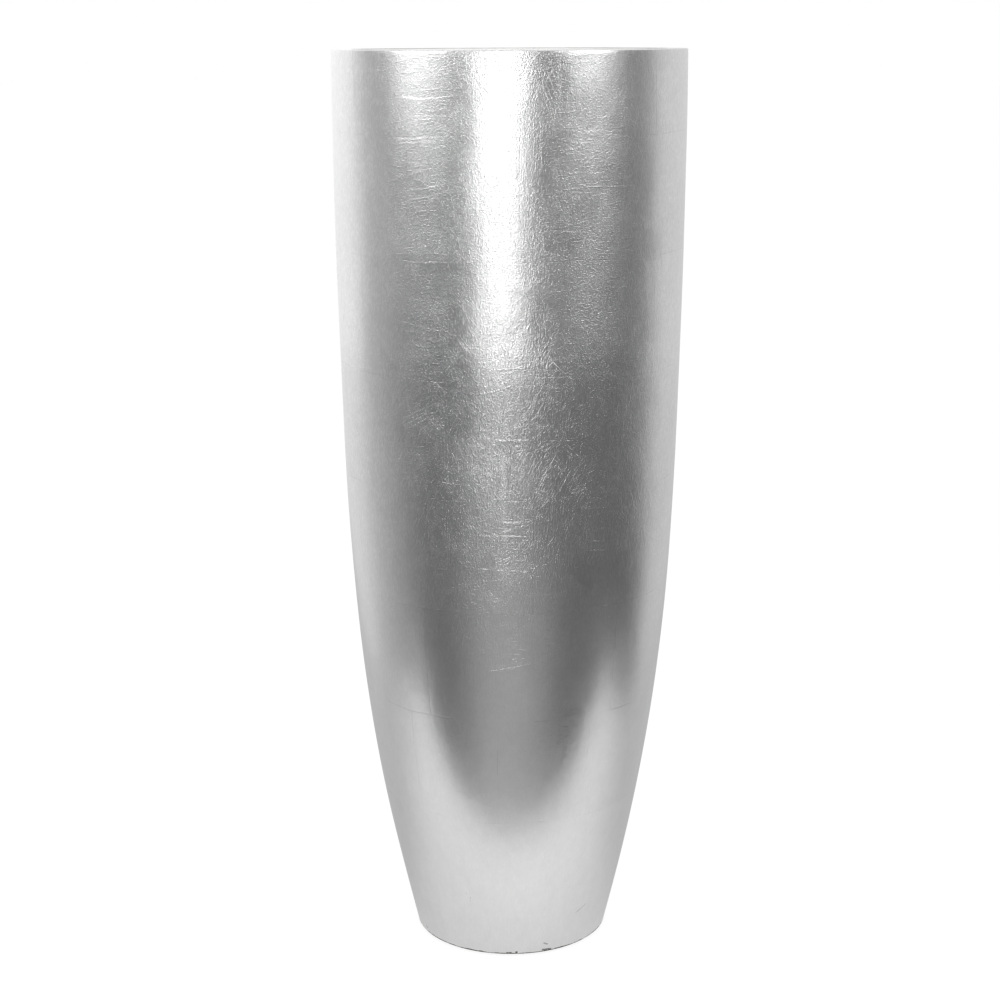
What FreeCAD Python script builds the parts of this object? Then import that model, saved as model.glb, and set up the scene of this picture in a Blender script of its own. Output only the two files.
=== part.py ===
import FreeCAD, Part
import math
import os

# Tall tapered floor planter: a thin laminated body with a turned-in rim, and a lift-out liner pot in it.
# Millimetres, +Z up, origin on the floor at the middle of the foot. Each piece is its own file in parts/.

# Planter body: a laminated shell, widest at the rim, drawn in towards the foot
planter_height = 970.0
rim_radius = 185.0
foot_radius = 106.0
shell_wall = 5.0
shell_top_round = 2.5
shell_foot_round = 1.5
# The outline bulges between foot and rim: places up the body, and how much of the widening is done there
outline_height_shares = (0.0, 0.12, 0.25, 0.40, 0.65, 1.0)
outline_bulge_shares = (0.0, 0.336, 0.613, 0.813, 0.946, 1.0)
# How steeply the body widens at the foot and, just drawn in again, at the rim, as shares of its mean slope
foot_slope_share = 3.0
rim_slope_share = -0.12

# Rim return: the lip laid inwards at the top, with a skirt that hangs down from its inner edge
rim_lip_width = 24.0
return_top_thickness = 6.0
return_skirt_thickness = 5.0
return_skirt_depth = 40.0
return_mouth_round = 3.0

# Liner ledge: a plywood ring under the skirt, with a rebate for the liner's flange
ledge_shelf = 11.0
ledge_rebate_depth = 4.0
ledge_thickness = 12.0

# Base disc in the foot, and the cast ballast slab that lies on it
base_disc_thickness = 8.0
ballast_thickness = 50.0
# Glue line between the shell and what is bonded inside it
bond_gap = 0.3

# Felt pads under the base disc
pad_radius = 11.0
pad_thickness = 2.0
pad_count = 4
pad_edge_inset = 12.0

# Liner pot: a thin moulded pot that hangs by its flange
flange_mouth_clearance = 3.0
flange_rebate_clearance = 5.0
flange_thickness = 3.0
liner_ledge_clearance = 2.5
liner_wall = 2.5
liner_depth = 280.0
liner_band_depth = 60.0
liner_band_draft = 1.0
liner_step_in = 3.0
liner_step_height = 4.0
liner_taper = 29.5
liner_floor_thickness = 3.0
liner_foot_ring = 30.0
liner_kick_slope = 12.0
liner_kick_height = 6.0
liner_corner_round = 8.0
liner_flange_round = 1.0

# Ears moulded inside the liner's top band, two for each handle, with a blind hole each
ear_radius = 6.0
ear_thickness = 10.0
ear_hole_depth = 8.5
ear_gap_half = 50.0
pivot_below_flange = 18.0
pivot_inset = 21.0

# Wire handles
wire_radius = 2.0
pivot_clearance = 0.1
pivot_end_clearance = 0.5
handle_reach = 65.0
handle_elbow_radius = 5.0
handle_corner_radius = 14.0

# How far a cutting solid runs past what it cuts
cut_overrun = 10.0

# Heights and radii that follow from the sizes above
body_bottom = pad_thickness
body_height = planter_height - body_bottom
mouth_radius = rim_radius - rim_lip_width
skirt_bottom = planter_height - return_skirt_depth
ledge_seat = skirt_bottom - ledge_rebate_depth
ledge_bottom = ledge_seat - ledge_thickness
ledge_bore_radius = mouth_radius - ledge_shelf
ballast_bottom = body_bottom + base_disc_thickness
pad_circle_radius = foot_radius - pad_edge_inset - pad_radius
flange_radius = mouth_radius - flange_mouth_clearance
flange_top = ledge_seat + flange_thickness
ledge_rebate_radius = flange_radius + flange_rebate_clearance
liner_outer_radius = ledge_bore_radius - liner_ledge_clearance
liner_inner_radius = liner_outer_radius - liner_wall
liner_foot_radius = liner_outer_radius - liner_taper
liner_kick_radius = liner_foot_radius - liner_foot_ring
liner_bottom = ledge_seat - liner_depth
pivot_height = flange_top - pivot_below_flange
pivot_distance = liner_inner_radius - pivot_inset

Vector = FreeCAD.Vector
upward = Vector(0, 0, 1)


def outline(inset):
    """The curve up the body's outer outline, drawn in by inset, in the plane y = 0."""
    bulge = rim_radius - foot_radius
    points = [
        Vector(foot_radius + bulge * across - inset, 0, body_bottom + body_height * up)
        for up, across in zip(outline_height_shares, outline_bulge_shares)
    ]
    foot_tangent = Vector(bulge * foot_slope_share, 0, body_height).normalize()
    rim_tangent = Vector(bulge * rim_slope_share, 0, body_height).normalize()
    curve = Part.BSplineCurve()
    curve.interpolate(Points=points, InitialTangent=foot_tangent, FinalTangent=rim_tangent)
    return curve


def turned(edges):
    """A solid turned about the Z axis from a closed outline in the plane y = 0."""
    face = Part.Face(Part.Wire(edges))
    return face.revolve(Vector(0, 0, 0), upward, 360)


def turned_polygon(corners):
    """A solid turned about the Z axis from the corners (radius, height) of its section."""
    points = [Vector(radius, 0, height) for radius, height in corners]
    points.append(points[0])
    return turned(Part.makePolygon(points).Edges)


def disc(radius, bottom, thickness):
    return Part.makeCylinder(radius, thickness, Vector(0, 0, bottom), upward)


def ring(inner_radius, outer_radius, bottom, thickness):
    bore = disc(inner_radius, bottom - cut_overrun, thickness + 2 * cut_overrun)
    return disc(outer_radius, bottom, thickness).cut(bore)


def body_solid(inset):
    """The full body inside its outline, drawn in by inset all round."""
    curve = outline(inset)
    foot_edge = Vector(foot_radius - inset, 0, body_bottom)
    foot_middle = Vector(0, 0, body_bottom)
    top_middle = Vector(0, 0, planter_height)
    top_edge = Vector(rim_radius - inset, 0, planter_height)
    edges = [
        curve.toShape(),
        Part.makeLine(top_edge, top_middle),
        Part.makeLine(top_middle, foot_middle),
        Part.makeLine(foot_middle, foot_edge),
    ]
    return turned(edges)


def rings_at(shape, radius, height):
    """The round edges of a shape that lie at this radius and height."""
    near = min(shell_wall, liner_wall) / 4
    found = []
    for edge in shape.Edges:
        box = edge.BoundBox
        level = abs(box.ZMin - height) < near and abs(box.ZMax - height) < near
        if level and abs(box.XMax - radius) < near:
            found.append(edge)
    return found


def rounded(shape, radius, *places):
    """The shape with its round edges at these (radius, height) places rounded off."""
    edges = [edge for place in places for edge in rings_at(shape, *place)]
    return shape.makeFillet(radius, edges)


def make_shell():
    shell = body_solid(0).cut(body_solid(shell_wall))
    shell = rounded(shell, shell_top_round, (rim_radius, planter_height))
    return rounded(shell, shell_foot_round, (foot_radius, body_bottom))


def make_rim_return():
    top_plate = ring(mouth_radius, rim_radius, planter_height - return_top_thickness, return_top_thickness)
    skirt_outer = mouth_radius + return_skirt_thickness
    skirt = ring(mouth_radius, skirt_outer, skirt_bottom, return_skirt_depth)
    lip = top_plate.fuse(skirt).removeSplitter().common(body_solid(shell_wall + bond_gap))
    return rounded(lip, return_mouth_round, (mouth_radius, planter_height))


def make_liner_ledge():
    blank = ring(ledge_bore_radius, rim_radius, ledge_bottom, skirt_bottom - ledge_bottom)
    rebate = disc(ledge_rebate_radius, ledge_seat, ledge_rebate_depth + cut_overrun)
    return blank.cut(rebate).common(body_solid(shell_wall + bond_gap))


def make_base_disc():
    return disc(rim_radius, body_bottom, base_disc_thickness).common(body_solid(shell_wall + bond_gap))


def make_ballast():
    return disc(rim_radius, ballast_bottom, ballast_thickness).common(body_solid(shell_wall + bond_gap))


def make_floor_pads():
    pads = []
    for index in range(pad_count):
        angle = 2 * math.pi * (index + 0.5) / pad_count
        middle = Vector(pad_circle_radius * math.cos(angle), pad_circle_radius * math.sin(angle), 0)
        pads.append(Part.makeCylinder(pad_radius, pad_thickness, middle, upward))
    return Part.makeCompound(pads)


def liner_section(side_inset, floor_inset):
    """Corners (radius, height) of the liner's outside, drawn in by a wall and by a floor."""
    band_foot = ledge_seat - liner_band_depth
    step_foot = band_foot - liner_step_height
    band_foot_radius = liner_outer_radius - liner_band_draft - side_inset
    floor = liner_bottom + floor_inset
    kick_foot_radius = liner_kick_radius + floor_inset
    return [
        (liner_outer_radius - side_inset, flange_top),
        (band_foot_radius, band_foot),
        (band_foot_radius - liner_step_in, step_foot),
        (liner_foot_radius - side_inset, floor),
        (kick_foot_radius, floor),
        (kick_foot_radius - liner_kick_slope, floor + liner_kick_height),
        (0, floor + liner_kick_height),
        (0, flange_top),
    ]


def make_ears(side):
    """Two ears on the inside of the liner's band, each with a blind hole for one end of a handle."""
    ears = []
    for hand in (-1, 1):
        inner_face = hand * ear_gap_half
        along = Vector(0, hand, 0)
        pivot = Vector(side * pivot_distance, inner_face, pivot_height)
        nose = Part.makeCylinder(ear_radius, ear_thickness, pivot, along)
        web = Part.makeBox(
            liner_outer_radius - pivot_distance,
            ear_thickness,
            2 * ear_radius,
            Vector(
                pivot_distance if side > 0 else -liner_outer_radius,
                inner_face if hand > 0 else inner_face - ear_thickness,
                pivot_height - ear_radius,
            ),
        )
        hole = Part.makeCylinder(wire_radius + pivot_clearance, ear_hole_depth, pivot, along)
        ears.append(nose.fuse(web).removeSplitter().cut(hole))
    return ears


def make_liner_pot():
    outside = turned_polygon(liner_section(0, 0))
    inside = turned_polygon(liner_section(liner_wall, liner_floor_thickness))
    flange = disc(flange_radius, ledge_seat, flange_thickness)
    solid_pot = outside.fuse(flange).removeSplitter()
    pot = solid_pot.cut(inside)
    foot_outer = (liner_foot_radius, liner_bottom)
    foot_inner = (liner_foot_radius - liner_wall, liner_bottom + liner_floor_thickness)
    pot = rounded(pot, liner_corner_round, foot_outer)
    pot = rounded(pot, liner_corner_round - liner_wall, foot_inner)
    pot = rounded(pot, liner_flange_round, (flange_radius, flange_top), (liner_inner_radius, flange_top))
    for side in (-1, 1):
        for ear in make_ears(side):
            pot = pot.fuse(ear.common(solid_pot))
    return pot.removeSplitter()


def make_handle(side):
    """One bent wire hanging from its two ears: end, elbow, leg, corner, cross bar, and back again."""
    x = side * pivot_distance
    end_y = ear_gap_half + ear_hole_depth - pivot_end_clearance
    elbow_y = ear_gap_half - pivot_end_clearance
    leg_y = elbow_y - handle_elbow_radius
    bar_y = leg_y - handle_corner_radius
    elbow_foot = pivot_height - handle_elbow_radius
    bar_height = pivot_height - handle_reach
    corner_top = bar_height + handle_corner_radius
    elbow_turn = handle_elbow_radius * (1 - math.cos(math.pi / 4))
    corner_turn = handle_corner_radius * (1 - math.cos(math.pi / 4))

    def half(hand):
        end = Vector(x, hand * end_y, pivot_height)
        elbow_start = Vector(x, hand * elbow_y, pivot_height)
        elbow_middle = Vector(x, hand * (leg_y + elbow_turn), pivot_height - elbow_turn)
        elbow_end = Vector(x, hand * leg_y, elbow_foot)
        corner_start = Vector(x, hand * leg_y, corner_top)
        corner_middle = Vector(x, hand * (leg_y - corner_turn), bar_height + corner_turn)
        corner_end = Vector(x, hand * bar_y, bar_height)
        return [
            Part.makeLine(end, elbow_start),
            Part.Arc(elbow_start, elbow_middle, elbow_end).toShape(),
            Part.makeLine(elbow_end, corner_start),
            Part.Arc(corner_start, corner_middle, corner_end).toShape(),
        ]

    bar = Part.makeLine(Vector(x, -bar_y, bar_height), Vector(x, bar_y, bar_height))
    path = Part.Wire(half(-1) + [bar] + half(1)[::-1])
    start = Vector(x, -end_y, pivot_height)
    section = Part.Wire(Part.makeCircle(wire_radius, start, Vector(0, 1, 0)))
    return path.makePipeShell([section], True, False)


def export(name, shape):
    shape.exportStep(os.path.join("parts", name + ".step"))
    solids = shape.Solids
    volume = sum(solid.Volume for solid in solids)
    print(name, "solids", len(solids), "valid", shape.isValid(), "volume cm3", round(volume / 1000, 1))


def main():
    os.makedirs("parts", exist_ok=True)
    export("shell", make_shell())
    export("rim_return", make_rim_return())
    export("liner_ledge", make_liner_ledge())
    export("base_disc", make_base_disc())
    export("ballast_slab", make_ballast())
    export("floor_pads", make_floor_pads())
    export("liner_pot", make_liner_pot())
    export("handle_left", make_handle(-1))
    export("handle_right", make_handle(1))


main()
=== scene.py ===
import math
import bpy
import numpy as np
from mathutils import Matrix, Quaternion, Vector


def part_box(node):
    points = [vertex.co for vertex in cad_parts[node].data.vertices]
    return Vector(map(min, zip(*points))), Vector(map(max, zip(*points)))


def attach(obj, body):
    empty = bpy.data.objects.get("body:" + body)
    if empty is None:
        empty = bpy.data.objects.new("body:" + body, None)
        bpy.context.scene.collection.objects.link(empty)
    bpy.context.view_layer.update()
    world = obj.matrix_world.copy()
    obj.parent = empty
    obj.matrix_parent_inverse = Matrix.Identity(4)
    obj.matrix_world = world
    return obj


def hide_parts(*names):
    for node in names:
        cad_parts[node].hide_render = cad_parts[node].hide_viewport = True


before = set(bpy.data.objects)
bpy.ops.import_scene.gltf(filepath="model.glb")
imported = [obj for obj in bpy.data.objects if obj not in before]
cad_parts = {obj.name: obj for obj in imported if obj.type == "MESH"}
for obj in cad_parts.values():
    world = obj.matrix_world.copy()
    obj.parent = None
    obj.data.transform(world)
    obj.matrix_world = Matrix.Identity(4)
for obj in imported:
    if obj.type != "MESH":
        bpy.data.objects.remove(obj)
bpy.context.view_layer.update()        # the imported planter: bodies, nodes, joints and record
scene = bpy.context.scene
scene.view_settings.view_transform = "Standard"

# Tall planter in laid silver leaf. Lengths are in metres. It stands on z = 0 with its axis on Z, and the
# camera looks along +Y. A turn is in degrees round Z: 0 on the camera's side, and positive to the right.


# Objects, curves and surfaces

def newObject(name, data):
    made = bpy.data.objects.new(name, data)
    scene.collection.objects.link(made)
    return made


def splineThrough(places, values, firstSlope, lastSlope, wanted):
    # Cubic pieces through the given points, with the same slope and bend on both sides of each point
    places, values = np.asarray(places), np.asarray(values)
    count = len(places)
    steps = np.diff(places)
    rises = np.diff(values) / steps
    system, target = np.eye(count), np.zeros(count)
    target[0], target[-1] = firstSlope, lastSlope
    for i in range(1, count - 1):
        system[i, i - 1:i + 2] = steps[i], 2 * (steps[i - 1] + steps[i]), steps[i - 1]
        target[i] = 3 * (steps[i] * rises[i - 1] + steps[i - 1] * rises[i])
    slopes = np.linalg.solve(system, target)
    piece = np.clip(np.searchsorted(places, wanted) - 1, 0, count - 2)
    t = (wanted - places[piece]) / steps[piece]
    return (
        (1 + 2 * t) * (1 - t) ** 2 * values[piece]
        + t * (1 - t) ** 2 * steps[piece] * slopes[piece]
        + t ** 2 * (3 - 2 * t) * values[piece + 1]
        + t ** 2 * (t - 1) * steps[piece] * slopes[piece + 1]
    )


def arc(centre, radius, start, end, steps):
    # Points (radius, height) on an arc from one angle to another, in degrees
    turn = np.radians(np.linspace(start, end, steps))
    return np.stack([centre[0] + radius * np.cos(turn), centre[1] + radius * np.sin(turn)], 1)


def closedLathe(name, path, columns, materials, materialRows, move=None, sharpAngle=40.0):
    # A closed outline of (radius, height) points turned about Z: row = place on the outline, column = angle
    angle = np.linspace(0, 2 * math.pi, columns, endpoint=False)
    radius, height = path[:, :1], path[:, 1:]
    if move is not None:
        radius = radius + move(angle[None, :], height)
    radius, height = (np.broadcast_to(part, (len(path), columns)) for part in (radius, height))
    points = np.stack([radius * np.cos(angle), radius * np.sin(angle), height], 2).reshape(-1, 3)
    row, column = np.meshgrid(np.arange(len(path)), np.arange(columns), indexing="ij")
    nextRow, nextColumn = (row + 1) % len(path), (column + 1) % columns
    corners = (
        row * columns + column,
        row * columns + nextColumn,
        nextRow * columns + nextColumn,
        nextRow * columns + column,
    )
    faces = np.stack([corner.ravel() for corner in corners], 1)
    mesh = bpy.data.meshes.new(name)
    mesh.from_pydata(points.tolist(), [], faces.tolist())
    for material in materials:
        mesh.materials.append(material)
    mesh.polygons.foreach_set("material_index", np.repeat(materialRows, columns).astype(np.int32))
    mesh.polygons.foreach_set("use_smooth", np.ones(len(mesh.polygons), dtype=bool))
    mesh.set_sharp_from_angle(angle=math.radians(sharpAngle))
    mesh.update()
    return newObject(name, mesh)


# Body: the tapered shell, leafed outside and bare laminate inside

body = {
    "rimRadius": 0.185,
    "footRadius": 0.106,
    "heightShares": (0.0, 0.12, 0.25, 0.40, 0.65, 1.0),
    "bulgeShares": (0.0, 0.336, 0.613, 0.813, 0.946, 1.0),
    "footSlopeShare": 3.0,
    "rimSlopeShare": -0.12,
    "wall": 0.005,
    "topRound": 0.0013,
    "footRound": 0.0015,
    "insideDrop": 0.0003,       # how far below the top the inside starts
    "columns": 288,
    "outerRows": 250,
    "innerRows": 16,
    "topRows": 6,
    "footRows": 5,
    "unevenness": 0.00022,      # how far the hand-laid laminate strays from round
    "unevenSeed": 7,
    # How many waves go round the body, and the height of one. The more there are, the shallower they are.
    "waves": ((2, 0.9), (3, 0.5), (4, 0.4), (5, 0.30), (7, 0.24), (9, 0.20), (12, 0.16), (15, 0.13)),
    "waveShare": 2.5,
}
body["bottom"], body["top"] = (float(corner[2]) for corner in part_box("shell"))


def outlineRadius(z):
    # Radius of the body's outside at height z: the foot radius plus the share of the widening done there
    share = (np.asarray(z) - body["bottom"]) / (body["top"] - body["bottom"])
    bulge = splineThrough(
        body["heightShares"], body["bulgeShares"], body["footSlopeShare"], body["rimSlopeShare"], share
    )
    return body["footRadius"] + (body["rimRadius"] - body["footRadius"]) * bulge


def unevenness(angle, z):
    # Sum of gentle waves round and up the body, each with its own count, height and phase
    rng = np.random.default_rng(body["unevenSeed"])
    strayed = np.zeros(np.broadcast(angle, z).shape)
    for around, pitch in body["waves"]:
        phase, start = rng.uniform(0, 2 * math.pi, 2)
        wave = np.cos(around * angle + phase) * np.cos(2 * math.pi * z / pitch + start)
        strayed = strayed + wave * (body["waveShare"] / around)
    return body["unevenness"] * strayed


def makeLeafedShell(leafed, bare):
    # The outline goes up the outside, over the rounded top edge to the lip, and down the inside, which is one
    # wall thinner
    lowest, highest = body["bottom"] + body["footRound"], body["top"] - body["topRound"]
    outerZ = np.linspace(lowest, highest, body["outerRows"])
    outer = np.stack([outlineRadius(outerZ), outerZ], 1)
    topCentre = (outer[-1, 0] - body["topRound"], outer[-1, 1])
    footCentre = (outer[0, 0] - body["footRound"], outer[0, 1])
    topArc = arc(topCentre, body["topRound"], 0, 90, body["topRows"])[1:]
    footArc = arc(footCentre, body["footRound"], -90, 0, body["footRows"])[:-1]
    lipEnd = np.array([[rim["jointRadius"], body["top"]]])
    innerZ = np.linspace(body["top"], body["bottom"], body["innerRows"])
    inner = np.stack([outlineRadius(innerZ) - body["wall"], innerZ], 1)
    inner[0, 1] -= body["insideDrop"]
    path = np.concatenate([footArc, outer, topArc, lipEnd, inner])
    leafRows = len(footArc) + len(outer) + len(topArc)
    materialRows = np.where(np.arange(len(path)) < leafRows, 0, 1)
    # Only the outside is uneven: the share falls to nothing halfway into the wall
    depth = path[:, :1] - (outlineRadius(path[:, 1:]) - body["wall"])
    outside = np.clip(depth / (body["wall"] / 2), 0, 1)
    piece = closedLathe(
        "leafedShell", path, body["columns"], (leafed, bare), materialRows,
        move=lambda angle, z: outside * unevenness(angle, z),
    )
    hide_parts("shell")
    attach(piece, "planter")


# Rim: the lip laid inwards at the top, and the skirt under it

rim = {
    "lipWidth": 0.024,
    "lipThickness": 0.006,
    "skirtThickness": 0.005,
    "mouthRound": 0.003,
    "jointRadius": 0.17985,     # where the lip meets the shell's own edge
    "skirtEase": 0.0006,        # bevel at the skirt's lower edge
    "mouthRows": 7,
    "skirtRows": 12,
}
rim["mouthRadius"] = body["rimRadius"] - rim["lipWidth"]
rim["skirtBottom"] = float(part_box("rim_return")[0][2])


def makeLeafedRim(leafed, paintedSheen, bare, rubbed):
    # The outline goes round the mouth, down inside the skirt, up behind it, out under the lip to the shell,
    # and back over the top
    lipTop, mouth, ease = body["top"], rim["mouthRadius"], rim["skirtEase"]
    lipUnder = lipTop - rim["lipThickness"]
    mouthCentre = (mouth + rim["mouthRound"], lipTop - rim["mouthRound"])
    mouthArc = arc(mouthCentre, rim["mouthRound"], 90, 180, rim["mouthRows"])
    skirtZ = np.linspace(mouthCentre[1], rim["skirtBottom"] + ease, rim["skirtRows"])[1:]
    skirtInner = np.stack([np.full(len(skirtZ), mouth), skirtZ], 1)
    skirtBack = mouth + rim["skirtThickness"]
    under = np.array([
        [mouth + ease, rim["skirtBottom"]],
        [skirtBack, rim["skirtBottom"]],
        [skirtBack, lipUnder],
        [rim["jointRadius"], lipUnder],
        [rim["jointRadius"], lipTop],
        [(rim["jointRadius"] + mouthCentre[0]) / 2, lipTop],
    ])
    path = np.concatenate([mouthArc, skirtInner, under])
    # Leaf on the level top, a grey strip on the upper half of the rounded mouth as painted shade where the
    # leaf turns in, a near-white coat below it as a painted reflection on the skirt, and bare laminate
    # underneath
    rows = np.arange(len(path))
    # The mouth and skirt take the near-white painted reflection, and the rows under the lip the bare laminate
    materialRows = np.where(rows < len(mouthArc) + len(skirtInner), 1, np.where(rows < len(path) - 2, 2, 0))
    # The upper half of the rounded mouth takes the grey painted shade line
    materialRows = np.where(rows < len(mouthArc) // 2, 3, materialRows)
    piece = closedLathe("leafedRim", path, body["columns"], (leafed, paintedSheen, bare, rubbed), materialRows)
    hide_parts("rim_return")
    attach(piece, "planter")


# Shader helpers

def feed(tree, socket, value):
    # Links another socket to this one, or sets its own value
    if isinstance(value, bpy.types.NodeSocket):
        tree.links.new(value, socket)
    else:
        socket.default_value = value


def addNode(tree, kind, settings=(), **inputs):
    # A node with its settings and inputs. An input is named by its label, or by i and its number.
    node = tree.nodes.new(kind)
    for name, value in dict(settings).items():
        setattr(node, name, value)
    for name, value in inputs.items():
        numbered = name[0] == "i" and name[1:].isdigit()
        feed(tree, node.inputs[int(name[1:]) if numbered else name.replace("_", " ")], value)
    return node


def placeGroup(tree, group, **inputs):
    made = tree.nodes.new("ShaderNodeGroup")
    made.node_tree = group
    for name, value in inputs.items():
        feed(tree, made.inputs[name.replace("_", " ")], value)
    return made.outputs


def newGroup(name, inputs, outputs):
    # A shader node group with named float, vector and colour sockets
    group = bpy.data.node_groups.new(name, "ShaderNodeTree")
    for side, sockets in (("INPUT", inputs), ("OUTPUT", outputs)):
        for label, kind, value in sockets:
            socket = group.interface.new_socket(label, in_out=side, socket_type="NodeSocket" + kind)
            if value is not None:
                socket.default_value = value
    return group, group.nodes.new("NodeGroupInput").outputs, group.nodes.new("NodeGroupOutput").inputs


def emptyTree(owner):
    # The node tree of a material or a world, without its first nodes
    owner.use_nodes = True
    owner.node_tree.nodes.clear()
    return owner.node_tree


def newMaterial(name):
    material = bpy.data.materials.new(name)
    tree = emptyTree(material)
    shader = tree.nodes.new("ShaderNodeBsdfPrincipled")
    addNode(tree, "ShaderNodeOutputMaterial", Surface=shader.outputs[0])
    place = tree.nodes.new("ShaderNodeTexCoord").outputs["Object"]
    return material, tree, shader.inputs, place


def maths(tree, operation, first, *others, clamp=False):
    # A Math node, or a chain of them where there are more than two parts
    settings = {"operation": operation, "use_clamp": clamp}
    if not others:
        return addNode(tree, "ShaderNodeMath", settings, i0=first).outputs[0]
    for other in others:
        first = addNode(tree, "ShaderNodeMath", settings, i0=first, i1=other).outputs[0]
    return first


def product(tree, *factors):
    return maths(tree, "MULTIPLY", *factors)


def total(tree, *terms):
    return maths(tree, "ADD", *terms)


def vectorMaths(tree, operation, first, second=(0.0, 0.0, 0.0)):
    made = addNode(tree, "ShaderNodeVectorMath", {"operation": operation}, i0=first, i1=second)
    return made.outputs["Value" if operation in ("LENGTH", "DISTANCE", "DOT_PRODUCT") else "Vector"]


def scaled(tree, vector, amount):
    return addNode(tree, "ShaderNodeVectorMath", {"operation": "SCALE"}, i0=vector, Scale=amount).outputs[0]


def parts(tree, vector):
    return addNode(tree, "ShaderNodeSeparateXYZ", Vector=vector).outputs


def ramp(tree, value, low, high, toLow=0.0, toHigh=1.0, smooth=True):
    # Follows value from low to high, and gives toLow to toHigh
    kind = {"interpolation_type": "SMOOTHSTEP" if smooth else "LINEAR"}
    made = addNode(tree, "ShaderNodeMapRange", kind, i0=value, i1=low, i2=high, i3=toLow, i4=toHigh)
    return made.outputs[0]


def noise(tree, place, scale, detail=2.0, roughness=0.5):
    made = addNode(tree, "ShaderNodeTexNoise", Vector=place, Scale=scale, Detail=detail, Roughness=roughness)
    return made.outputs["Fac"]


def centred(tree, colour, amount):
    # A random colour as a vector, up to half the amount each way
    return scaled(tree, vectorMaths(tree, "SUBTRACT", colour, (0.5, 0.5, 0.5)), amount)


def noiseShift(tree, place, scale, detail, amount):
    # A shift that wanders from place to place
    made = addNode(tree, "ShaderNodeTexNoise", Vector=place, Scale=scale, Detail=detail)
    return centred(tree, made.outputs["Color"], amount)


def stretched(tree, place, scale, turn=0.0):
    # The place turned by some degrees about Z, then squeezed by a scale
    turned = addNode(tree, "ShaderNodeMapping", Vector=place, Rotation=(0.0, 0.0, math.radians(turn)))
    return addNode(tree, "ShaderNodeMapping", Vector=turned.outputs[0], Scale=scale).outputs[0]


def turnRound(tree, x, y):
    # Angle round Z in radians, 0 on the camera's side and positive to the right
    return maths(tree, "ARCTAN2", x, product(tree, y, -1.0))


def patchMask(tree, flat, shift, scale, low, high):
    # Soft patches: noise at a place of its own, from where it passes low to where it passes high
    apart = vectorMaths(tree, "ADD", flat, (shift, 1.7 * shift, 0.6 * shift))
    return ramp(tree, noise(tree, apart, scale, 3.0, 0.6), low, high)


def mixValue(tree, factor, first, second):
    return addNode(tree, "ShaderNodeMix", {"data_type": "FLOAT"}, i0=factor, i2=first, i3=second).outputs[0]


def mixColour(tree, factor, first, second, blend="MIX"):
    first, second = ((*value, 1.0) if isinstance(value, tuple) else value for value in (first, second))
    settings = {"data_type": "RGBA", "blend_type": blend}
    return addNode(tree, "ShaderNodeMix", settings, i0=factor, i6=first, i7=second).outputs[2]


# Laid sheets

laying = {
    "crooked": (14.0, 2.0, 0.007),      # scale, detail and size of the joints' wandering
    "brokenScale": 26.0,
    "brokenNoise": (0.46, 0.60),        # a joint shows from where the noise passes these
}


def makeLeafSheets():
    # Rows of sheets laid round the body, each row turned by chance. A sheet's row and column are the whole
    # parts of its height and its turn, counted in sheets. Gives the sheet a random colour, and the joints as
    # a thin broken line.
    tree, entry, result = newGroup(
        "leafSheets",
        [("Place", "Vector", None), ("Sheets Round", "Float", 10.0), ("Sheet Width", "Float", 0.12),
         ("Row Height", "Float", 0.12), ("First Row", "Float", 0.05), ("Joint Width", "Float", 0.001)],
        [("Sheet", "Color", None), ("Joint", "Float", None)],
    )
    crooked = noiseShift(tree, entry["Place"], *laying["crooked"])
    x, y, z = parts(tree, vectorMaths(tree, "ADD", entry["Place"], crooked))
    row = maths(tree, "DIVIDE", maths(tree, "SUBTRACT", z, entry["First Row"]), entry["Row Height"])
    rowNumber, rowPart = maths(tree, "FLOOR", row), maths(tree, "FRACT", row)
    stagger = addNode(tree, "ShaderNodeTexWhiteNoise", {"noise_dimensions": "1D"}, W=rowNumber)
    turn = total(tree, maths(tree, "DIVIDE", turnRound(tree, x, y), 2 * math.pi), 0.5)
    column = product(tree, turn, entry["Sheets Round"])
    column = total(tree, column, stagger.outputs["Value"])
    columnNumber = maths(tree, "FLOORED_MODULO", maths(tree, "FLOOR", column), entry["Sheets Round"])
    columnPart = maths(tree, "FRACT", column)
    number = addNode(tree, "ShaderNodeCombineXYZ", X=columnNumber, Y=rowNumber).outputs[0]
    sheet = addNode(tree, "ShaderNodeTexWhiteNoise", {"noise_dimensions": "3D"}, Vector=number)
    # Distance to the nearest joint
    rowGap = maths(tree, "MINIMUM", rowPart, maths(tree, "SUBTRACT", 1.0, rowPart))
    rowGap = product(tree, rowGap, entry["Row Height"])
    columnGap = maths(tree, "MINIMUM", columnPart, maths(tree, "SUBTRACT", 1.0, columnPart))
    columnGap = product(tree, columnGap, entry["Sheet Width"])
    line = ramp(tree, maths(tree, "MINIMUM", rowGap, columnGap), entry["Joint Width"], 0.0)
    broken = ramp(tree, noise(tree, entry["Place"], laying["brokenScale"], 3.0), *laying["brokenNoise"])
    feed(tree, result["Sheet"], sheet.outputs["Color"])
    feed(tree, result["Joint"], product(tree, line, broken))
    return tree


def makeUnrolled():
    # The surface laid flat: across is the turn times one radius, and up is the height less the radius, so
    # that the lip and the skirt follow on from the wall
    tree, entry, result = newGroup(
        "unrolled", [("Place", "Vector", None), ("Roll Radius", "Float", 0.17)], [("Flat", "Vector", None)]
    )
    x, y, z = parts(tree, entry["Place"])
    across = product(tree, turnRound(tree, x, y), entry["Roll Radius"])
    radius = vectorMaths(tree, "LENGTH", vectorMaths(tree, "MULTIPLY", entry["Place"], (1.0, 1.0, 0.0)))
    up = maths(tree, "SUBTRACT", z, radius)
    feed(tree, result["Flat"], addNode(tree, "ShaderNodeCombineXYZ", X=across, Y=up).outputs[0])
    return tree


# Rubbing marks from burnishing. Each row starts with the lean of its marks in degrees and their number to a
# metre across and along them. A patch is its shift, its scale, and the noise where it begins and is full.

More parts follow.
